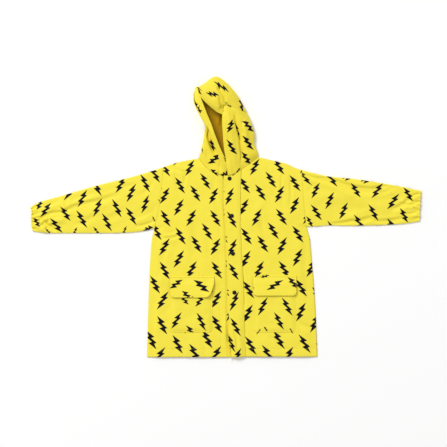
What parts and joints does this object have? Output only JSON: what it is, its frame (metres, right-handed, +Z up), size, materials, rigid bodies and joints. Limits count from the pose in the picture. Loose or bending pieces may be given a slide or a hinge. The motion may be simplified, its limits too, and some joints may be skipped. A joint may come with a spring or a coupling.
{
  "type": "kids raincoat",
  "caption": "Child's hooded raincoat of coated cloth, laid flat on its back with sleeves spread, closed by snaps under a folded front band, with flap pockets and elastic cuffs.",
  "frame": {"origin": "centre of the bounding box, on the ground under the coat", "axes": "+X towards the wearer's left sleeve, +Y from the hem towards the hood, +Z up off the ground, which is the way the coat's front faces"},
  "size_m": [1.037, 0.7425, 0.0387],
  "materials": {
    "printed_cloth": "lemon-yellow coated cloth with a soft sheen and a repeating print of small black lightning bolts",
    "snap_caps": "black, softly domed"
  },
  "bodies": {
    "root": {"back": "printed_cloth", "front_right": "printed_cloth", "front_left": "printed_cloth", "front_band": "printed_cloth", "sleeve_right": "printed_cloth", "sleeve_left": "printed_cloth", "pocket_right": "printed_cloth", "pocket_left": "printed_cloth", "pocket_flap_right": "printed_cloth", "pocket_flap_left": "printed_cloth", "hood_right": "printed_cloth", "hood_left": "printed_cloth", "hood_centre": "printed_cloth", "snap_1": "snap_caps", "snap_2": "snap_caps", "snap_3": "snap_caps", "snap_4": "snap_caps"}
  },
  "joints": []
}
